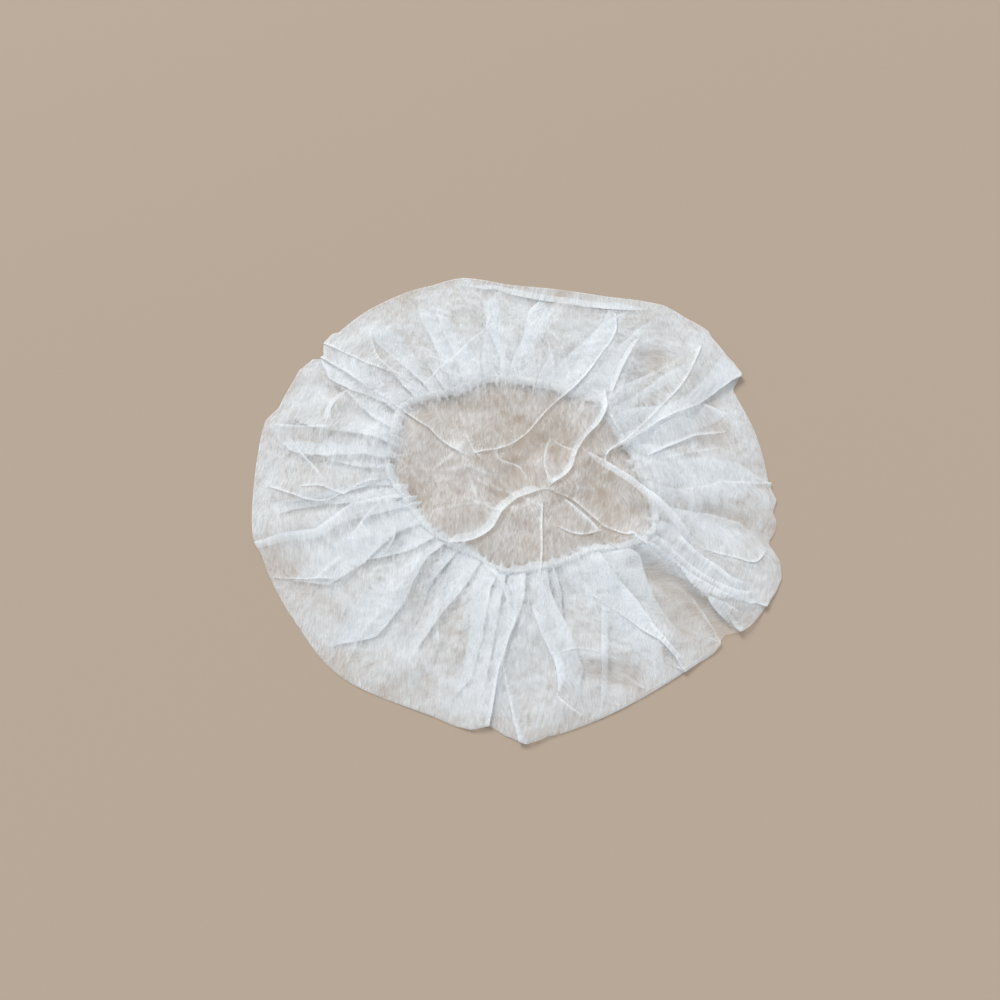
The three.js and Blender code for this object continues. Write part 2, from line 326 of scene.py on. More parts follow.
# %% Pleats that lap over at the rim
RIM_PLEATS = [
    dict(name="great lap", side=-1, width=(2, 34), rise=2.6, tip=1.5,
         edge=[(58, 5), (79, 18), (98, 31), (127, 47), (155, 71)]),
    dict(name="shoulder", side=1, width=(2, 6), rise=2.2, tip=0.5,
         edge=[(-30, 5), (-54, 24), (-82, 48), (-116, 76), (-140, 94)]),
    dict(name="shoulder streak", side=1, width=(1, 6), rise=1.4, tip=0.3,
         edge=[(-70, 62), (-99, 80), (-134, 103)]),
    dict(name="left band", side=-1, width=(15, 9), rise=1.8, tip=0.3,
         edge=[(-72, -25), (-100, -30), (-122, -46), (-143, -49), (-162, -54)]),
    dict(name="front notch left", side=1, width=(1, 7), rise=1.8, tip=0.5,
         edge=[(3, -100), (-3, -116), (-9, -134), (-11, -147), (-14, -164)]),
    dict(name="front notch right", side=-1, width=(1, 9), rise=1.8, tip=0.5,
         edge=[(-7, -128), (-3, -150), (2, -170)]),
    dict(name="long ridge", side=-1, width=(3, 9), rise=2.6, tip=0.6,
         edge=[(24, -20), (38, -29), (55, -46), (75, -57), (99, -80), (114, -96), (131, -111)]),
    dict(name="low ridge", side=1, width=(1, 4), rise=1.2, tip=0.3,
         edge=[(98, -86), (104, -91), (111, -99), (116, -108), (119, -119)]),
    dict(name="lower crease", side=-1, width=(1, 5), rise=1.3, tip=0.4,
         edge=[(43, -90), (55, -96), (69, -106), (81, -116), (98, -136)]),
    dict(name="right fan low", side=-1, width=(1, 6), rise=1.5, tip=0.5,
         edge=[(112, -82), (123, -90), (136, -94), (152, -95)]),
    dict(name="right upper", side=1, width=(1, 5), rise=1.0, tip=1.6,
         edge=[(108, -21), (135, -12), (166, -11)]),
]
TUCK_SHARE = 0.28
FLANK_SHARE = 1.15
LEAST_TUCK = 2.0
LEAST_FLANK = 5.0
FLANK_CURVE = 1.3
PLEAT_START = 0.07
TURNED_UNDER = 0.3
LEAST_REACH = 5.0
JUT_CURVE = 3
JUT_FROM = 0.8
CREST_WIDTH = 1.3
SNAP_SPAN = 1.4
SNAP_REACH = 15.0


def edge_lengths(points):
    return np.hypot(*(points[edges[:, 0], :2] - points[edges[:, 1], :2]).T)


def next_to_line(away, near, lengths):
    """Which of the near points to set on the line away = 0, so that no edge crosses it."""
    signed = np.full(len(cut), np.nan)
    signed[near] = away
    first, second = signed[edges[:, 0]], signed[edges[:, 1]]
    nearer = np.where(np.abs(first) <= np.abs(second), edges[:, 0], edges[:, 1])
    chosen = np.zeros(len(cut), bool)
    crossing = (first * second < 0) & (np.abs(first - second) < SNAP_SPAN * lengths)
    chosen[nearer[crossing]] = True
    return chosen[near]


def lap_over(angle):
    """Swings points round the middle so that each pleat laps over, and lifts what is on top.

    The points nearest a crest are set right on it, so that its edge runs clean.
    """
    share = np.where(on_skirt, 1, crown_share)
    turn_under = np.clip(1 - skirt_share / TURNED_UNDER, 0, 1)
    reach = np.maximum(laid_radius, LEAST_REACH)
    swing = np.zeros_like(angle)
    lift = np.zeros_like(angle)
    jut = np.zeros_like(angle)
    line = np.zeros_like(angle)
    laid = np.stack([laid_radius * np.cos(angle), laid_radius * np.sin(angle)], axis=1)
    lengths = edge_lengths(laid)
    for pleat in RIM_PLEATS:
        edge = np.array(pleat["edge"], float)
        edge_angle = np.unwrap(np.arctan2(edge[:, 1], edge[:, 0]))
        edge_share = np.hypot(edge[:, 0], edge[:, 1]) / (rim_reach(edge_angle) - ROLL)
        at = np.interp(share, edge_share, edge_angle)
        run = np.clip((share - edge_share[0]) / (1 - edge_share[0]), 0, 1)
        width = mix(pleat["width"][0], pleat["width"][1], run)
        grown = smooth(share, edge_share[0] - PLEAT_START, edge_share[0] + PLEAT_START)
        grown = grown * turn_under
        crest = at - pleat["side"] * width * grown / reach
        away = (np.mod(angle - crest + math.pi, 2 * math.pi) - math.pi) * reach * pleat["side"]
        folded = np.flatnonzero((grown > 0) & (np.abs(away) < SNAP_REACH))
        snapped = folded[next_to_line(away[folded], folded, lengths)]
        swing[snapped] -= (pleat["side"] * away / reach)[snapped]
        away[snapped] = 0
        tuck = np.clip(1 - away / (LEAST_TUCK + TUCK_SHARE * width), 0, 1)
        flank = np.clip(1 + away / (LEAST_FLANK + FLANK_SHARE * width), 0, 1)
        height = np.where(away > 0, tuck, flank**FLANK_CURVE) * grown
        swing += pleat["side"] * width * height / reach
        lift += pleat["rise"] * height
        jut += pleat["tip"] * height**JUT_CURVE * smooth(share, JUT_FROM, 1)
        # Along each crest the cloth is made whiter: partly creased fibre, partly a painted highlight.
        line = np.maximum(line, np.clip(1 - np.abs(away) / CREST_WIDTH, 0, 1) * grown)
    return swing, lift, jut, line


pleat_swing, pleat_lift, pleat_jut, pleat_crease_and_highlight = lap_over(turn)
angle = turn + pleat_swing + skirt_swing
radius, height = lay_out(angle, pleat_jut)
height = height + pleat_lift + skirt_lift * on_skirt
place = np.stack([radius * np.cos(angle), radius * np.sin(angle), height], axis=1)
print("pleats lift the crown to", height.max().round(1), "mm")

# %% [markdown]
# Inside the rim the crown is creased where it was folded and squeezed in its packet. A crease is a
# tent whose flanks meet in a sharp ridge. Where a row gives a lap, the tent falls over by so many mm
# (side +1 is left of the way the path runs), so three thicknesses make a narrow white strip.

# %% Creases in the crown
CREASES = [
    dict(name="panel edge", side=-1, lap=1.6, rise=1.7, flank=14,
         path=[(-27, 6), (-8, 10), (8, 21), (24, 41), (41, 57), (62, 86), (77, 114), (79, 138)]),
    dict(name="hook", side=1, lap=3.6, rise=2.3, flank=8,
         path=[(64, 62), (63, 38), (57, 27), (48, 17), (42, 7), (38, -5), (22, -19)]),
    dict(name="hook top", side=-1, lap=0.6, rise=1.3, flank=5,
         path=[(64, 39), (68, 27), (72, 19)]),
    dict(name="arc stem", side=-1, lap=1.2, rise=1.5, flank=7,
         path=[(26, 26), (22, 12), (20, -3), (22, -17)]),
    dict(name="arc", side=1, lap=0.8, rise=0.9, flank=5,
         path=[(26, 22), (32, 13), (43, 7)]),
    dict(name="right band", side=1, lap=4.0, rise=1.8, flank=9, fade=16,
         path=[(44, 11), (65, -4), (89, -26), (102, -41), (112, -58)]),
    dict(name="hub tick", side=-1, lap=0.6, rise=0.9, flank=5,
         path=[(-32, 26), (-30, 18), (-26, 10), (-18, -3)]),
    dict(name="hub curl", side=1, lap=0.6, rise=0.9, flank=5,
         path=[(-10, 15), (-9, 4), (5, -3), (10, -13)]),
    dict(name="top fan", side=-1, lap=3.4, rise=1.0, flank=8, fade=16,
         path=[(66, 48), (77, 75), (97, 114)]),
    dict(name="s curve", side=-1, lap=6.0, rise=2.4, flank=11,
         path=[(-42, -58), (-26, -56), (-13, -48), (-6, -36), (3, -27), (12, -23), (22, -19)]),
    dict(name="middle branch", side=-1, lap=0.8, rise=1.0, flank=6,
         path=[(24, -45), (34, -50), (57, -51)]),
    dict(name="branch", side=1, lap=1.4, rise=1.2, flank=7,
         path=[(30, -24), (47, -40), (58, -52)]),
    dict(name="front line", side=1, lap=1.2, rise=1.5, flank=10,
         path=[(19, -26), (18, -43), (17, -68), (15, -83)]),
    dict(name="front bridge", side=1, lap=0, rise=1.2, flank=8, tuck=4,
         path=[(12, -84), (8, -98), (2, -112)]),
    dict(name="wedge line", side=-1, lap=1.2, rise=1.3, flank=8, fade=6,
         path=[(60, -4), (61, 4), (76, 17), (99, 41), (120, 66), (131, 86), (139, 103)]),
    dict(name="right pair", side=-1, lap=2.2, rise=0.9, flank=6,
         path=[(84, 4), (104, 13), (125, 22), (148, 28)]),
    dict(name="right pair low", side=-1, lap=0, rise=0.8, flank=6, tuck=4,
         path=[(96, 2), (114, 8), (140, 14)]),
    dict(name="low curve", side=1, lap=1.0, rise=1.0, flank=6,
         path=[(78, -95), (80, -105), (85, -113), (92, -122), (98, -129)]),
    dict(name="bundle top", side=1, lap=2.4, rise=1.0, flank=6,
         path=[(98, -49), (112, -63), (122, -70), (131, -78), (142, -81)]),
    dict(name="bundle high", side=1, lap=1.6, rise=0.8, flank=5,
         path=[(84, -52), (104, -70), (120, -81), (135, -86), (146, -85)]),
    dict(name="bundle middle", side=1, lap=2.0, rise=1.0, flank=6,
         path=[(68, -48), (92, -67), (112, -82), (129, -90), (147, -93)]),
    dict(name="bundle low", side=1, lap=1.2, rise=0.8, flank=5,
         path=[(80, -60), (96, -74), (110, -88), (124, -95), (136, -101)]),
    dict(name="small flap", side=-1, lap=1.0, rise=0.8, flank=7,
         path=[(112, -59), (131, -64), (147, -67), (157, -57)]),
    dict(name="left line", side=1, lap=1.2, rise=0.8, flank=7,
         path=[(-151, 26), (-135, 6), (-118, -13)]),
    dict(name="left edge", side=-1, lap=1.4, rise=1.1, flank=12,
         path=[(-160, -14), (-117, -26), (-99, -17), (-82, -13)]),
    dict(name="left patch", side=1, lap=4.0, rise=0.8, flank=9,
         path=[(-112, 61), (-120, 50), (-125, 30)]),
    dict(name="left bar", side=1, lap=1.5, rise=0.7, flank=7,
         path=[(-165, 35), (-148, 33), (-131, 31), (-116, 28)]),
    dict(name="left low bar", side=-1, lap=1.0, rise=0.7, flank=7,
         path=[(-146, -77), (-125, -78), (-103, -79)]),
    dict(name="front ray", side=-1, lap=4.5, rise=1.2, flank=9, fade=12,
         path=[(9, -94), (15, -112), (23, -130), (24, -148)]),
    dict(name="front ray two", side=-1, lap=3.6, rise=0.9, flank=9, fade=16,
         path=[(51, -88), (49, -120), (47, -157)]),
    dict(name="front bend", side=1, lap=0.8, rise=0.9, flank=8,
         path=[(20, -142), (32, -153), (43, -159)]),
    dict(name="front shelf", side=-1, lap=0.6, rise=0.5, flank=9,
         path=[(22, -122), (36, -121), (52, -124)]),
    dict(name="front shelf low", side=1, lap=1.5, rise=0.8, flank=7,
         path=[(58, -131), (67, -138), (80, -144)]),
    dict(name="top line", side=1, lap=0.4, rise=0.7, flank=12,
         path=[(-60, 62), (-42, 88), (-12, 122)]),
    dict(name="top left line", side=-1, lap=0.8, rise=0.7, flank=9,
         path=[(-66, 60), (-96, 92), (-104, 120)]),
    dict(name="front left fan", side=-1, lap=0, rise=1.2, flank=13, tuck=6,
         path=[(-52, -63), (-72, -92), (-90, -117), (-95, -130)]),
    dict(name="front left two", side=1, lap=0, rise=1.0, flank=13, tuck=6,
         path=[(-43, -57), (-45, -96), (-42, -124)]),
    dict(name="front left arc", side=-1, lap=3.0, rise=1.2, flank=11, fade=20,
         path=[(-28, -66), (-12, -77), (-4, -94), (-3, -108)]),
    dict(name="left fan high", side=1, lap=1.6, rise=1.0, flank=7,
         path=[(-89, -17), (-103, -21), (-122, -17), (-141, -16)]),
    dict(name="left fan low", side=-1, lap=1.4, rise=1.0, flank=7,
         path=[(-81, -29), (-92, -41), (-100, -54)]),
    dict(name="left knot", side=1, lap=1.2, rise=1.0, flank=6,
         path=[(-75, -36), (-71, -51), (-79, -66)]),
    dict(name="turned edge", side=-1, lap=7.0, rise=1.2, flank=3, fade=30,
         path=[(-41, 166), (-15, 158), (27, 147), (63, 140), (94, 138), (112, 140)]),
]
LEAST_CREASE_TUCK = 1.5
TUCK_PER_LAP = 0.15
CREASE_CURVE = 1.4
FADE_LENGTH = 9.0
FADE_LEAD = 1.0
PATH_STEPS = 36
LINE_WIDTH = 1.3
MARGIN = 2.0


def along_path(corners, steps):
    """A smooth curve through the corners, at even steps, with the run along it."""
    corners = np.array(corners, float)
    spans = np.hypot(*np.diff(corners, axis=0).T)
    knots = np.concatenate([[0], np.cumsum(spans)])
    slopes = np.gradient(corners, knots, axis=0)
    at = np.linspace(0, knots[-1], steps)
    leg = np.clip(np.searchsorted(knots, at, side="right") - 1, 0, len(spans) - 1)
    span = spans[leg][:, None]
    share = ((at - knots[leg]) / spans[leg])[:, None]
    start, end = corners[leg], corners[leg + 1]
    leave, arrive = slopes[leg] * span, slopes[leg + 1] * span
    curve = start + share * leave + share**2 * (3 * (end - start) - 2 * leave - arrive)
    return curve + share**3 * (2 * (start - end) + leave + arrive), at


def beside_path(points, corners):
    """Signed distance (+ is left), run along the path and the way left, for every point."""
    curve, run = along_path(corners, PATH_STEPS)
    step = np.diff(curve, axis=0)
    length = np.maximum((step**2).sum(1), TINY)
    nearest = np.full(len(points), np.inf)
    beside = np.zeros(len(points))
    reached = np.zeros(len(points))
    left = np.zeros((len(points), 2))
    for index, leg in enumerate(step):
        away = points - curve[index]
        share = np.clip(away @ leg / length[index], 0, 1)
        gap = away - share[:, None] * leg
        distance = np.hypot(gap[:, 0], gap[:, 1])
        closer = distance < nearest
        nearest[closer] = distance[closer]
        turned = leg[0] * away[:, 1] - leg[1] * away[:, 0]
        beside[closer] = np.where(turned[closer] >= 0, distance[closer], -distance[closer])
        reached[closer] = run[index] + share[closer] * math.sqrt(length[index])
        left[closer] = np.array([-leg[1], leg[0]]) / math.sqrt(length[index])
    return beside, reached, left, run[-1]


def crease(points, rows, weight, density_and_painted_light):
    """Moves the crown's points over and up along every crease; density_and_painted_light keeps where
    the ridges are, whiter from the crease and from a painted highlight.

    A row may give its own tuck, the width of the steep flank, and fade, the length of its ends.
    """
    moved = points.copy()
    top = np.flatnonzero(weight)
    lengths = edge_lengths(points)
    lift = np.zeros(len(points))
    for row in rows:
        side, flank = row["side"], row["flank"]
        tuck = row.get("tuck", LEAST_CREASE_TUCK + TUCK_PER_LAP * row["lap"])
        lean = row["lap"] + tuck if row["lap"] else 0
        corners = np.array(row["path"], float)
        margin = flank + lean + MARGIN
        low, high = corners.min(0) - margin, corners.max(0) + margin
        inside = ((points[top, :2] > low) & (points[top, :2] < high)).all(1)
        near = top[inside]
        beside, run, left, length = beside_path(points[near, :2], corners)
        fade_length = row.get("fade", FADE_LENGTH)
        fade = smooth(run, -FADE_LEAD, fade_length) * smooth(length - run, -FADE_LEAD, fade_length)
        fade = fade * weight[near]
        away = beside * side + lean * fade
        for line in (0, tuck) if lean else ():
            snapped = next_to_line(away - line, near, lengths)
            moved[near[snapped], :2] -= (left * ((away - line) * side)[:, None])[snapped]
            away[snapped] = line
        slope = np.clip(1 + away / flank, 0, 1) ** CREASE_CURVE
        tent = np.where(away > 0, 1 - away / tuck, slope)
        tent = np.clip(tent, 0, 1) * fade
        moved[near, :2] += left * (side * lean * tent)[:, None]
        higher = row["rise"] * tent > lift[near]
        lift[near[higher]] = row["rise"] * tent[higher]
        # Each crease's ridge is made whiter: partly creased fibre, partly a painted highlight.
        ridge = np.clip(1 - np.abs(away) / LINE_WIDTH, 0, 1) * fade * min(row["rise"], 1)
        density_and_painted_light[near] = np.maximum(density_and_painted_light[near], ridge)
    moved[:, 2] += lift
    return moved


# %% [markdown]
# Between the creases that can be read from the photo lie many small ones, from handling. They are
# drawn by chance, but from a fixed seed, and run mostly towards the point where the big folds meet.

# %% Small creases by chance
HUB = np.array([22.0, -19.0])
SMALL_CREASES = 90
START_REACH = (20, 150)
HALF_LENGTH = (8, 26)
HEADING_WANDER = 0.45
BEND = 0.25
SMALL_RISE = (0.3, 0.9)
SMALL_FLANK = (5, 12)
SMALL_TUCK = (1.5, 5)
CREASED_TO = (0.985, 1.0)
SMALL_CREASED_TO = (0.88, 0.96)
chance = np.random.default_rng(21)


def heading_of(turn_angle):
    return np.array([math.cos(turn_angle), math.sin(turn_angle)])


def small_crease():
    start = chance.uniform(*START_REACH) * heading_of(chance.uniform(0, 2 * math.pi))
    to_hub = HUB - start
    heading = math.atan2(to_hub[1], to_hub[0]) + chance.normal(0, HEADING_WANDER)
    half = chance.uniform(*HALF_LENGTH)
    middle = start + half * heading_of(heading)
    end = middle + half * heading_of(heading + chance.normal(0, BEND))
    return dict(
        path=[tuple(start), tuple(middle), tuple(end)],
        side=chance.choice([-1, 1]),
        lap=0,
        rise=chance.uniform(*SMALL_RISE),
        flank=chance.uniform(*SMALL_FLANK),
        tuck=chance.uniform(*SMALL_TUCK),
    )


small_creases = [small_crease() for _ in range(SMALL_CREASES)]
weight = np.where(on_skirt, 0, 1 - smooth(crown_share, *CREASED_TO)) * (roll_turn == 0)
small_weight = weight * (1 - smooth(crown_share, *SMALL_CREASED_TO))
density_and_painted_light = pleat_crease_and_highlight.copy()
place = crease(place, small_creases, small_weight, density_and_painted_light)
place = crease(place, CREASES, weight, density_and_painted_light)
print(len(CREASES), "read creases and", SMALL_CREASES, "small ones")

# %% [markdown]
# Between the folds the cloth sinks into hollows, where crown and skirt are both drawn thin and more
# of the table shows; this also paints shade into the hollows. The gathered skirt is bunched and so
# denser than the crown that lies on it, and it is made whiter still as painted light where the crown
# shades it, most at the mouth. The rim itself was pressed flat in the packet, and its line is also
# whiter as a painted highlight.

# %% Hollows
HOLLOWS = [
    dict(name="beside the long ridge", half=11, depth=2.0, thin=0.95,
         path=[(65, -60), (81, -71), (98, -85), (115, -102), (130, -117)]),
    dict(name="across the middle", half=13, depth=0.3, thin=0.35,
         path=[(35, 60), (24, 34), (3, 0), (-10, -29)]),
    dict(name="low on the right", half=10, depth=0.8, thin=0.7,
         path=[(79, -85), (94, -102), (106, -117)]),
    dict(name="right of the lap", half=14, depth=0.8, thin=0.7,
         path=[(124, 56), (133, 31), (132, 6)]),
    dict(name="right side", half=9, depth=0.8, thin=0.9,
         path=[(113, -29), (134, -38), (153, -44)]),
    dict(name="below the shelf", half=9, depth=0.6, thin=0.9,
         path=[(28, -132), (52, -132), (76, -138)]),
    dict(name="top right", half=14, depth=0.6, thin=0.5,
         path=[(89, 78), (106, 95), (121, 105)]),
    dict(name="left side", half=9, depth=0.5, thin=0.5,
         path=[(-149, -34), (-132, -29), (-112, -27)]),
    dict(name="low on the left", half=12, depth=0.4, thin=0.35,
         path=[(-137, -69), (-117, -91), (-100, -111)]),
]
HOLLOW_FLOOR = 0.35
HOLLOW_LEAD = 0.1
SKIRT_DENSITY_AND_LIGHT = 0.8
SKIRT_DENSE_AND_LIT_AT = (0, 0.1)
MOUTH_DENSITY_AND_LIGHT = 0.5
MOUTH_DENSE_AND_LIT_AT = (0.6, 1)
RIM_PRESS_AND_HIGHLIGHT = 0.4
RIM_PRESS_AND_HIGHLIGHT_WIDTH = 1.6


def hollow(points, row):
    """How deep every point lies in the hollow: 1 along its path, 0 outside it."""
    beside, run, _, length = beside_path(points[:, :2], row["path"])
    half = row["half"]
    across = 1 - smooth(np.abs(beside), HOLLOW_FLOOR * half, half)
    return across * smooth(run, 0, half) * smooth(length - run, -HOLLOW_LEAD, half)


# Painted light: the skirt in the crown's shade is made more opaque and so whiter, most at the mouth;
# partly it is bunched cloth.
density_and_painted_light += SKIRT_DENSITY_AND_LIGHT * smooth(skirt_share, *SKIRT_DENSE_AND_LIT_AT)
density_and_painted_light += MOUTH_DENSITY_AND_LIGHT * smooth(skirt_share, *MOUTH_DENSE_AND_LIT_AT)
# The rim's line is whiter: partly the pressed fold, partly a painted highlight.
density_and_painted_light += RIM_PRESS_AND_HIGHLIGHT * np.clip(1 - np.abs(cut - RIM_CUT) / RIM_PRESS_AND_HIGHLIGHT_WIDTH, 0, 1)
for row in HOLLOWS:
    depth = hollow(place, row)
    place[:, 2] -= row["depth"] * depth * weight
    # The hollow is drawn thin so the deeper table shows: partly sheer cloth, partly painted shade.
    density_and_painted_light -= row["thin"] * depth
print(len(HOLLOWS), "hollows")

# %% [markdown]
# Last come slow undulations, so that no stretch of the cloth is flat, and the ghost of the gathers
# below, which the crown lies on between the hem and the rim.

# %% Undulations
WAVES = 26
SHORTEST_WAVE = 16.0
LONGEST_WAVE = 75.0
WAVE_SLOPE = 0.011
WAVED_TO = (0.85, 1.0)
GHOST = 0.75
GHOST_PACE = 0.5
GHOST_WANDER = 0.6
GHOST_FROM = (62, 84)
GHOST_TO = (105, 150)
WIDE_GHOST = 0.9


def undulate(points):
    total = np.zeros(len(points))
    for _ in range(WAVES):
        length = math.exp(chance.uniform(math.log(SHORTEST_WAVE), math.log(LONGEST_WAVE)))
        heading = heading_of(chance.uniform(0, 2 * math.pi))
        start = chance.uniform(0, 2 * math.pi)
        run = 2 * math.pi * points[:, :2] @ heading / length
        total += WAVE_SLOPE * length / 2 * np.sin(run + start)
    return total


crown_only = np.where(on_skirt, 0, 1 - smooth(crown_share, *WAVED_TO)) * (roll_turn == 0)
over_gathers = smooth(radius, *GHOST_FROM) * (1 - smooth(radius, *GHOST_TO)) * crown_only
place[:, 2] += undulate(place) * crown_only
slow_phase = phase * GHOST_PACE
ghost = np.sin(slow_phase + GHOST_WANDER * np.sin(slow_phase / 2)) - WIDE_GHOST * wide_wave
place[:, 2] += GHOST * over_gathers * ghost
place[:, 2] = np.maximum(place[:, 2], LIFT)
print("the cloth stands", place[:, 2].max().round(1), "mm high")

# %% [markdown]
# The points go back into the mesh. Its UV map is the flat disc itself, so the fibres follow the cloth
# round every fold. A second value, kept at each point, says how much denser the cloth is there:
# non-woven turns whiter where it was pressed or bunched, and a hollow is drawn thin. The same value
# also paints light and shade into the cloth: highlights on the ridges and the rim, light on the skirt
# where the crown shades it, shade in the hollows. The sheet then stands for two pieces of the frame.

# %% The cap's cloth
CLOTH_SIZE = 2 * CUT_RADIUS
FOLD_ANGLE = 50


def give_uv(mesh, u, v):
    corners = np.empty(len(mesh.loops), int)
    mesh.loops.foreach_get("vertex_index", corners)
    layer = mesh.uv_layers.new(name="cut")
    layer.data.foreach_set("uv", np.stack([u, v], axis=1)[corners].ravel())


def keep_painted_light_and_density(mesh, values):
    layer = mesh.attributes.new("painted_light_and_density", "FLOAT", "POINT")
    layer.data.foreach_set("value", values)


def shade_smooth(mesh):
    mesh.polygons.foreach_set("use_smooth", [True] * len(mesh.polygons))
    mesh.update()


def show(name, mesh):
    piece = bpy.data.objects.new(name, mesh)
    scene.collection.objects.link(piece)
    return piece


cloth_mesh.vertices.foreach_set("co", (place * MM).ravel())
flat_cut = cut / CLOTH_SIZE
give_uv(cloth_mesh, 0.5 + flat_cut * np.cos(turn), 0.5 + flat_cut * np.sin(turn))
keep_painted_light_and_density(cloth_mesh, density_and_painted_light)
shade_smooth(cloth_mesh)
cloth_mesh.set_sharp_from_angle(angle=math.radians(FOLD_ANGLE))
cap_cloth = show("cap_cloth", cloth_mesh)
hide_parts("crown", "skirt")
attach(cap_cloth, "root")
print("cap_cloth:", [round(size / MM, 1) for size in cap_cloth.dimensions], "mm")

# %% [markdown]
# At the mouth the edge of the disc is folded over the elastic and welded shut, which makes a narrow
# tube. The elastic pulls it into a frill of small knife pleats, like a scrunchie. The tube is spun
# from a circle round a ring of radius 1, so that each point knows how far out and up it lies.

# %% The gathered hem
HEM_SIDES = 14
HEM_STEPS = 1300
TUBE_RADIUS = 0.2

tube = bmesh.new()
ring = bmesh.ops.create_circle(tube, segments=HEM_SIDES, radius=TUBE_RADIUS)
bmesh.ops.rotate(tube, verts=ring["verts"], matrix=Matrix.Rotation(math.pi / 2, 3, "X"))
bmesh.ops.translate(tube, verts=ring["verts"], vec=(1, 0, 0))
bmesh.ops.spin(
    tube, geom=tube.verts[:] + tube.edges[:], axis=(0, 0, 1), angle=2 * math.pi,
    steps=HEM_STEPS, use_merge=True,
)
bmesh.ops.recalc_face_normals(tube, faces=tube.faces[:])
hem_mesh = bpy.data.meshes.new("gathered_hem")
tube.to_mesh(hem_mesh)
tube.free()

spun = np.empty(len(hem_mesh.vertices) * 3)
hem_mesh.vertices.foreach_get("co", spun)
spun = spun.reshape(-1, 3)
hem_turn = np.arctan2(spun[:, 1], spun[:, 0])
outward = (np.hypot(spun[:, 0], spun[:, 1]) - 1) / TUBE_RADIUS
upward = spun[:, 2] / TUBE_RADIUS
inner = 0.5 - 0.5 * outward
print("the tube has", len(hem_mesh.vertices), "points")

# %% [markdown]
# The frill is a wave too. It leans like the gathers, reaches in over the mouth and stands up and
# down, most on the inner side, where the tube is pinched to a thin lip. That lip is frayed: the
# cloth is stretched there, so it lets more light past.

# %% The hem's frill
HEM_INWARD = 4.6
HEM_OUTWARD = 2.6
HEM_MIDDLE = 3.1
HEM_HALF_HEIGHT = 2.5
HEM_CLEARANCE = 0.15
HEM_ROUNDING = 0.1
FRILLS = 66
FRILL_WANDER = [(3, 2.0, 0.4), (8, 1.3, 2.2), (19, 0.8, 1.0), (31, 0.5, 5.0)]
FRILL_STRENGTH = 0.75
FRILL_UNEVEN = [(11, 0.35, 0.7), (23, 0.25, 0.0)]
FRILL_LEAN = 1.5
LEAN_SKEW = 0.6
FRILL_REACH = 2.2
REACH_SKEW = 0.9
CRIMP = 0.25
CRIMPS = 3
CRIMP_SKEW = 2.0
MOUTH_BENDS = [(9, 1.1, 2.0)]
FRILL_HEIGHT = 1.2
OUTER_FRILL = 0.4
LIP_PINCH = 0.65
LIP_FROM = 0.3
FRAYED = 0.8
FRAYED_FROM = 0.4
FRAYED_ON_CREST = 0.4
HEM_CLOTH = 2 * math.pi * CUT_RADIUS
TUBE_CLOTH = 20.0

frill = FRILLS * hem_turn + ripple(hem_turn, FRILL_WANDER)
frill_pace = FRILLS + ripple_slope(hem_turn, FRILL_WANDER)
strength = FRILL_STRENGTH + ripple(hem_turn, FRILL_UNEVEN)
hem_angle = hem_turn - FRILL_LEAN / frill_pace * np.sin(frill + LEAN_SKEW * upward)
hem_radius = hem_reach(hem_angle) + np.where(outward > 0, HEM_OUTWARD, HEM_INWARD) * outward
hem_radius -= inner * FRILL_REACH * strength * np.cos(frill + REACH_SKEW * upward)
hem_radius -= inner * CRIMP * np.sin(CRIMPS * frill + CRIMP_SKEW * upward)
hem_radius -= inner * ripple(hem_turn, MOUTH_BENDS)
lip = 1 - LIP_PINCH * smooth(inner, LIP_FROM, 1)
hem_height = HEM_MIDDLE + HEM_HALF_HEIGHT * lip * upward
hem_height += FRILL_HEIGHT * strength * np.sin(frill) * (OUTER_FRILL + inner)
hem_height = np.maximum(hem_height, LIFT + HEM_CLEARANCE + HEM_ROUNDING * upward)
hem_place = np.stack(
    [hem_radius * np.cos(hem_angle), hem_radius * np.sin(hem_angle), hem_height], axis=1
)
hem_mesh.vertices.foreach_set("co", (hem_place * MM).ravel())
frayed = FRAYED * smooth(inner, FRAYED_FROM, 1)
frayed *= 1 - FRAYED_ON_CREST + FRAYED_ON_CREST * np.sin(frill)
keep_painted_light_and_density(hem_mesh, -frayed)
around_tube = np.arctan2(upward, outward)
give_uv(hem_mesh, hem_turn / (2 * math.pi) + 0.5, around_tube / (2 * math.pi) + 0.5)
shade_smooth(hem_mesh)
gathered_hem = show("gathered_hem", hem_mesh)
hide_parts("hem_casing")
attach(gathered_hem, "root")
print("gathered_hem has", FRILLS, "frills")

# %% [markdown]
# The finishes come next. A shader's sums are written as plain sums: a Value wraps a socket, and each
# sum or product of Values adds its own Math node. Every other node comes from the tree's add().

# %% Shader maths
class Value:
    """A shader socket that can be added, subtracted and multiplied like a number."""

    def __init__(self, finish, socket):
        self.finish = finish
        self.socket = socket

    def __add__(self, other):
        return self.finish.maths("ADD", self, other)

    def __sub__(self, other):
        return self.finish.maths("SUBTRACT", self, other)

    def __rsub__(self, other):
        return self.finish.maths("SUBTRACT", other, self)

    def __mul__(self, other):
        return self.finish.maths("MULTIPLY", self, other)

    __radd__ = __add__
    __rmul__ = __mul__

    def within(self, low, high):
        return self.finish.maths("MINIMUM", self.finish.maths("MAXIMUM", self, low), high)


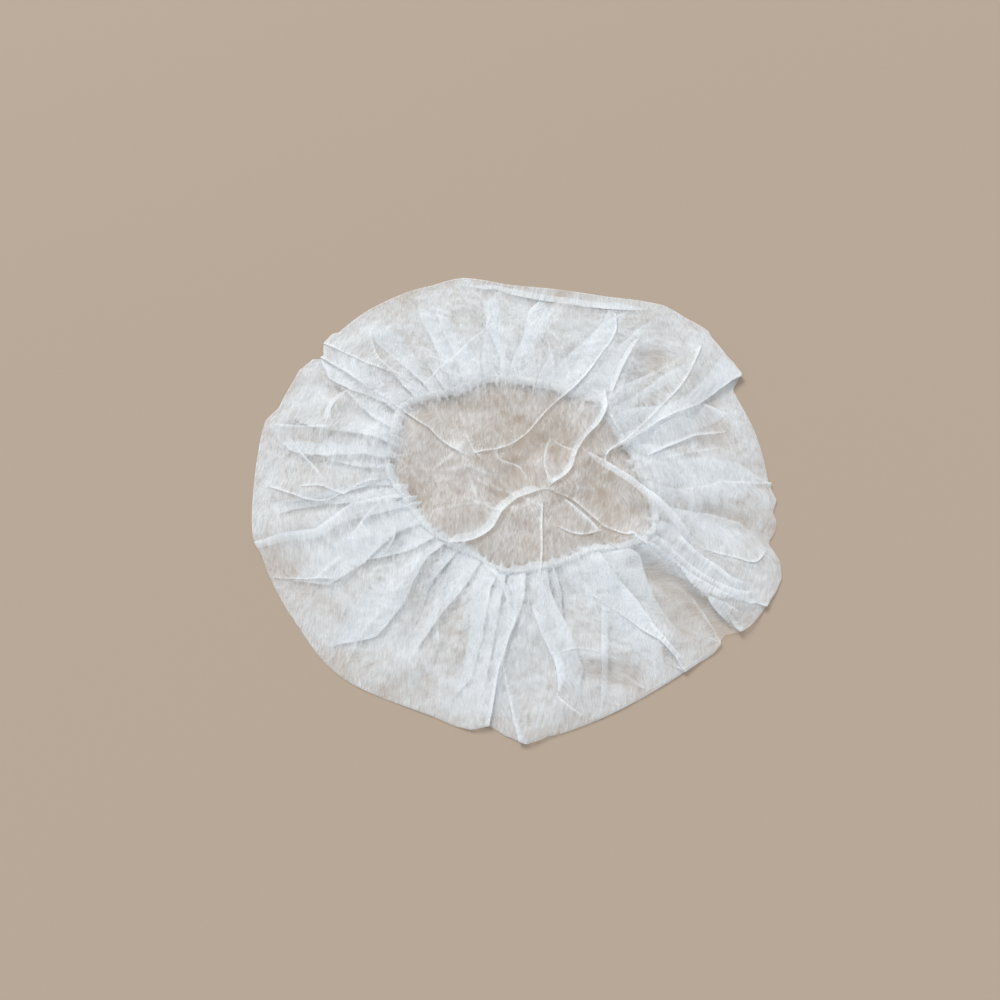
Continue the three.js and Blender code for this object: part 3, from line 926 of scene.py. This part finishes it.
class Finish:
    """One material and its node tree."""

    def __init__(self, name):
        self.material = bpy.data.materials.new(name)
        self.material.use_nodes = True
        self.tree = self.material.node_tree
        self.tree.nodes.clear()

    def add(self, kind, settings=None, sockets=None, output=0):
        node = self.tree.nodes.new(kind)
        for setting, value in (settings or {}).items():
            setattr(node, setting, value)
        for socket, value in (sockets or {}).items():
            if isinstance(value, Value):
                self.tree.links.new(value.socket, node.inputs[socket])
            else:
                node.inputs[socket].default_value = value
        return Value(self, node.outputs[output]) if node.outputs else node

    def maths(self, operation, first, second):
        return self.add("ShaderNodeMath", {"operation": operation}, {0: first, 1: second})

    def grain(self, vector, across, along, turned=0.0, detail=1.0):
        """Noise whose grains are so wide and long, in the units of the vector; it centres on 0."""
        eased = self.add(
            "ShaderNodeMapping",
            {"vector_type": "TEXTURE"},
            {"Vector": vector, "Scale": (across, along, 1), "Rotation": (0, 0, turned)},
        )
        noise = self.add("ShaderNodeTexNoise", None, {"Vector": eased, "Scale": 1.0, "Detail": detail})
        return noise - 0.5

    def wear(self, piece):
        piece.data.materials.clear()
        piece.data.materials.append(self.material)


print("shader maths ready")

# %% [markdown]
# Spunbond is a mat of fine filaments, combed mostly one way. It is never even: streaks a millimetre
# wide and clouds as big as a fingertip let more or less light through. So the cloth is a mix of
# nothing (Transparent) and fibre, and the fibre both scatters light back and glows with the light
# that falls on its other side (Translucent). Layers add up by themselves, just as real ones do.
# Each row of GRAINS is one unevenness of the mat, with its width and length in mm.

# %% The non-woven's finish
FIBRE_COLOUR = (0.88, 0.905, 0.92, 1)
GLOW_COLOUR = (0.91, 0.93, 0.945, 1)
GRAINS = {
    "patches": dict(across=15, along=18, detail=2.0),
    "strands": dict(across=0.9, along=8, turned=0.12),
    "crossing": dict(across=1.3, along=6, turned=-0.28),
    "flecks": dict(across=0.8, along=1.6),
    "clouds": dict(across=4, along=6),
    "banks": dict(across=42, along=50),
}
STRAND_RELIEF = 0.5
STRAND_WEIGHT = 0.68
CROSSING_WEIGHT = 0.34
FLECK_WEIGHT = 0.16
CLOUD_WEIGHT = 0.42
BANK_WEIGHT = 0.7
PATCH_WEIGHT = 0.7
STREAKED = 1.25
STREAKED_BY_PATCH = 1.6
PAINTED_LIGHT_AND_DENSITY_WEIGHT = 0.65
OPACITY_LIMITS = (0.12, 0.97)
MIDDLE_ROUGHNESS = 0.72
STREAK_GLOSS = 0.4
ROUGHNESS_LIMITS = (0.5, 0.95)
RELIEF_DEPTH = 0.0004


def non_woven(name, span, cover, glow_share, contrast=1.0):
    """span is the size in mm of the whole UV map, cover the share of light that one layer stops.

    glow_share is how much of the fibre is Translucent, and contrast how uneven the mat is.
    """
    finish = Finish(name)
    flat_place = finish.add("ShaderNodeUVMap", {"uv_map": "cut"})
    in_mm = finish.add(
        "ShaderNodeVectorMath", {"operation": "MULTIPLY"}, {0: flat_place, 1: (span[0], span[1], 1)}
    )
    grain = {kind: finish.grain(in_mm, **size) for kind, size in GRAINS.items()}
    strands = grain["strands"] * STRAND_RELIEF
    streaks = strands * STRAND_WEIGHT + grain["crossing"] * CROSSING_WEIGHT
    streaks = streaks * (grain["patches"] * STREAKED_BY_PATCH + STREAKED)
    streaks = streaks + grain["flecks"] * FLECK_WEIGHT
    clouds = grain["patches"] * PATCH_WEIGHT + grain["clouds"] * CLOUD_WEIGHT
    clouds = clouds + grain["banks"] * BANK_WEIGHT
    # The kept value makes the cloth more opaque and whiter, or sheerer: partly real density and fray,
    # partly painted light and shade.
    painted_light_and_density = finish.add("ShaderNodeAttribute", {"attribute_name": "painted_light_and_density"}, output=2)
    opacity = ((streaks + clouds) * contrast + cover) * (painted_light_and_density * PAINTED_LIGHT_AND_DENSITY_WEIGHT + 1.0)
    opacity = opacity.within(*OPACITY_LIMITS)
    relief = finish.add(
        "ShaderNodeBump", None, {"Strength": 0.35, "Distance": RELIEF_DEPTH, "Height": strands}
    )
    fibre = finish.add(
        "ShaderNodeBsdfPrincipled",
        None,
        {
            "Base Color": FIBRE_COLOUR,
            "Roughness": (MIDDLE_ROUGHNESS - streaks * STREAK_GLOSS).within(*ROUGHNESS_LIMITS),
            "Specular IOR Level": 0.3,
            "Normal": relief,
        },
    )
    glow = finish.add("ShaderNodeBsdfTranslucent", None, {"Color": GLOW_COLOUR, "Normal": relief})
    lit = finish.add("ShaderNodeMixShader", None, {0: glow_share, 1: fibre, 2: glow})
    nothing = finish.add("ShaderNodeBsdfTransparent")
    sheer = finish.add("ShaderNodeMixShader", None, {0: opacity, 1: nothing, 2: lit})
    finish.add("ShaderNodeOutputMaterial", None, {"Surface": sheer})
    return finish


ONE_LAYER = 0.43
HEM_LAYERS = 0.86
cloth_finish = non_woven("non_woven", (CLOTH_SIZE, CLOTH_SIZE), ONE_LAYER, glow_share=0.36)
cloth_finish.wear(cap_cloth)
hem_finish = non_woven(
    "hem_non_woven", (HEM_CLOTH, TUBE_CLOTH), HEM_LAYERS, glow_share=0.34, contrast=0.6
)
hem_finish.wear(gathered_hem)
print("one layer of cloth lets", round(1 - ONE_LAYER, 2), "of the light past")

# %% [markdown]
# The elastic inside the hem is covered rubber: off-white, matt, with a fine grain from its yarn.
# Its own shape in the frame is right, so it only gets a finish, read from its place in the frame.

# %% The elastic's finish
YARN = 0.0006
YARN_RELIEF = 0.0002
DEEP_YARN = (0.70, 0.69, 0.66, 1)
HIGH_YARN = (0.86, 0.86, 0.84, 1)

elastic = Finish("elastic_rubber")
spot = elastic.add("ShaderNodeTexCoord", output=3)
yarn = elastic.grain(spot, YARN, YARN)
tint = elastic.add("ShaderNodeValToRGB", None, {"Fac": yarn + 0.5})
stops = tint.socket.node.color_ramp.elements
stops[0].color = DEEP_YARN
stops[1].color = HIGH_YARN
yarn_relief = elastic.add(
    "ShaderNodeBump", None, {"Strength": 0.5, "Distance": YARN_RELIEF, "Height": yarn}
)
rubber = elastic.add(
    "ShaderNodeBsdfPrincipled", None, {"Base Color": tint, "Roughness": 0.7, "Normal": yarn_relief}
)
elastic.add("ShaderNodeOutputMaterial", None, {"Surface": rubber})
elastic.wear(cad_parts["elastic_band"])
print("elastic_band has its finish")

# %% [markdown]
# The table is plain, pale and matt, a shade deeper than the cloth, so that thin places show. Soft
# light comes from behind on the left, as in the photo, and an even sky fills the shadows.

# %% Table and light
TABLE_COLOUR = (0.39, 0.31, 0.24, 1)
TABLE_HALF = 12.0
KEY_TURN = math.radians(120)
KEY_HEIGHT = math.radians(38)
KEY_ENERGY = 2.5
KEY_SIZE = math.radians(22)
KEY_COLOUR = (1.0, 0.985, 0.96)
SKY_COLOUR = (0.91, 0.95, 1.0, 1)
SKY_STRENGTH = 0.8
CLOTH_LAYERS_SEEN = 10
LIGHT_BOUNCES = 6

table_mesh = bpy.data.meshes.new("table")
table = bmesh.new()
bmesh.ops.create_grid(table, x_segments=1, y_segments=1, size=TABLE_HALF)
table.to_mesh(table_mesh)
table.free()
table = show("table", table_mesh)
matt = Finish("matt_table")
tone = matt.add(
    "ShaderNodeBsdfPrincipled",
    None,
    {"Base Color": TABLE_COLOUR, "Roughness": 0.9, "Specular IOR Level": 0.2},
)
matt.add("ShaderNodeOutputMaterial", None, {"Surface": tone})
matt.wear(table)

key_data = bpy.data.lights.new("key", "SUN")
key_data.energy = KEY_ENERGY
key_data.angle = KEY_SIZE
key_data.color = KEY_COLOUR
key = bpy.data.objects.new("key", key_data)
towards_key = Vector((
    math.cos(KEY_TURN) * math.cos(KEY_HEIGHT),
    math.sin(KEY_TURN) * math.cos(KEY_HEIGHT),
    math.sin(KEY_HEIGHT),
))
key.rotation_euler = towards_key.to_track_quat("Z", "Y").to_euler()
scene.collection.objects.link(key)

sky = bpy.data.worlds.new("sky")
sky.use_nodes = True
background = sky.node_tree.nodes["Background"]
background.inputs["Color"].default_value = SKY_COLOUR
background.inputs["Strength"].default_value = SKY_STRENGTH
scene.world = sky
scene.view_settings.view_transform = "Standard"
scene.cycles.transparent_max_bounces = CLOTH_LAYERS_SEEN
scene.cycles.max_bounces = LIGHT_BOUNCES
print("one soft key light and an even sky")
